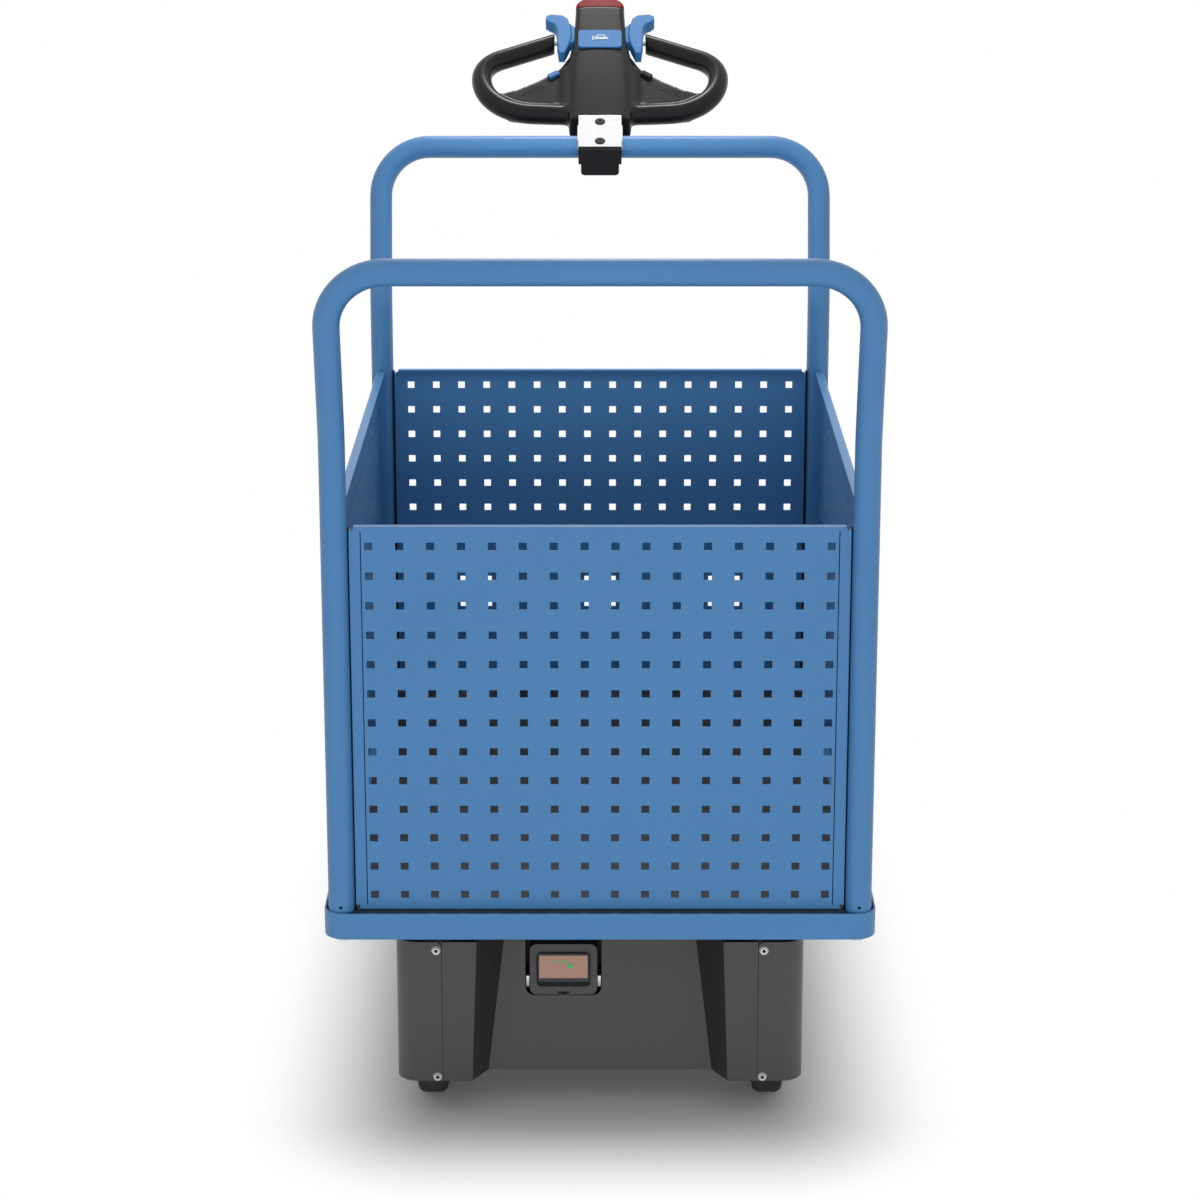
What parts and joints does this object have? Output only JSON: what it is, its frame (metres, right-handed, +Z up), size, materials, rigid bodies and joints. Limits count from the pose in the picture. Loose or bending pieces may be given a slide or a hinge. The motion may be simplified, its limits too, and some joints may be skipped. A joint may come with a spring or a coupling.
{
  "type": "electric platform truck",
  "caption": "Electric platform truck with perforated steel walls, a tube handle at each end, a battery drive unit and swivel casters below, and a control head on one handle.",
  "frame": {"origin": "on the floor under the middle of the whole length and width", "axes": "+X across the truck, +Y from the drive end towards the operator's end, +Z up"},
  "size_m": [0.7, 1.369, 1.3193],
  "materials": {
    "blue_paint": "satin powder coat",
    "deck_film": "film-faced anti-slip board",
    "dark_paint": "satin black paint",
    "housing_plastic": "grained moulded plastic",
    "battery_plastic": "fine grained moulded plastic",
    "display_film": "printed display film",
    "chrome_plate": "bright plated steel",
    "zinc_plate": "zinc plated steel",
    "hub_metal": "cast and turned",
    "tyre_rubber": "solid rubber",
    "rim_plastic": "moulded nylon",
    "head_plastic": "fine grained moulded plastic",
    "clamp_plastic": "black moulding",
    "button_blue": "smooth moulding",
    "button_red": "smooth moulding"
  },
  "bodies": {
    "chassis": {"platform_rim": "blue_paint", "deck_board": "deck_film", "cross_rails": "dark_paint", "handle_drive_end": "blue_paint", "handle_operator_end": "blue_paint", "wall_drive_end": "blue_paint", "wall_operator_end": "blue_paint", "wall_right": "blue_paint", "wall_left": "blue_paint", "housing_front": "housing_plastic", "battery_bay": "clamp_plastic", "battery_pack": "battery_plastic", "battery_display": "display_film", "battery_latches": "chrome_plate", "housing_tray": "dark_paint", "clamp_block": "clamp_plastic", "clamp_foot": "clamp_plastic", "head_bracket": "chrome_plate", "head_spine": "head_plastic", "belly_button": "button_red", "horn_button": "button_blue", "lever_shafts": "zinc_plate", "rocker_left": "button_blue", "rocker_right": "clamp_plastic", "wheel_cover_left": "housing_plastic", "drive_axle_left": "zinc_plate", "caster_plate_left": "zinc_plate", "head_loop_left": "head_plastic", "thumb_lever_left": "button_blue", "wheel_cover_right": "housing_plastic", "drive_axle_right": "zinc_plate", "caster_plate_right": "zinc_plate", "head_loop_right": "head_plastic", "thumb_lever_right": "button_blue"},
    "drive_wheel_left": {"drive_hub_left": "hub_metal", "drive_tyre_left": "tyre_rubber"},
    "caster_swivel_left": {"caster_fork_left": "zinc_plate", "caster_bolt_left": "zinc_plate", "caster_brake_left": "zinc_plate"},
    "caster_wheel_left": {"caster_rim_left": "rim_plastic", "caster_tyre_left": "tyre_rubber"},
    "drive_wheel_right": {"drive_hub_right": "hub_metal", "drive_tyre_right": "tyre_rubber"},
    "caster_swivel_right": {"caster_fork_right": "zinc_plate", "caster_bolt_right": "zinc_plate", "caster_brake_right": "zinc_plate"},
    "caster_wheel_right": {"caster_rim_right": "rim_plastic", "caster_tyre_right": "tyre_rubber"}
  },
  "joints": [
    {"name": "drive_left_spin", "type": "hinge", "parent": "chassis", "child": "drive_wheel_left", "pos_m": [-0.219, -0.50043, 0.08], "axis": [1, 0, 0], "continuous": true},
    {"name": "caster_left_swivel", "type": "hinge", "parent": "chassis", "child": "caster_swivel_left", "pos_m": [-0.225, 0.19756, 0.215], "axis": [0, 0, 1], "continuous": true},
    {"name": "caster_left_spin", "type": "hinge", "parent": "caster_swivel_left", "child": "caster_wheel_left", "pos_m": [-0.225, 0.14757, 0.1], "axis": [1, 0, 0], "continuous": true},
    {"name": "drive_right_spin", "type": "hinge", "parent": "chassis", "child": "drive_wheel_right", "pos_m": [0.219, -0.50043, 0.08], "axis": [1, 0, 0], "continuous": true},
    {"name": "caster_right_swivel", "type": "hinge", "parent": "chassis", "child": "caster_swivel_right", "pos_m": [0.225, 0.19756, 0.215], "axis": [0, 0, 1], "continuous": true},
    {"name": "caster_right_spin", "type": "hinge", "parent": "caster_swivel_right", "child": "caster_wheel_right", "pos_m": [0.225, 0.14757, 0.1], "axis": [1, 0, 0], "continuous": true}
  ]
}
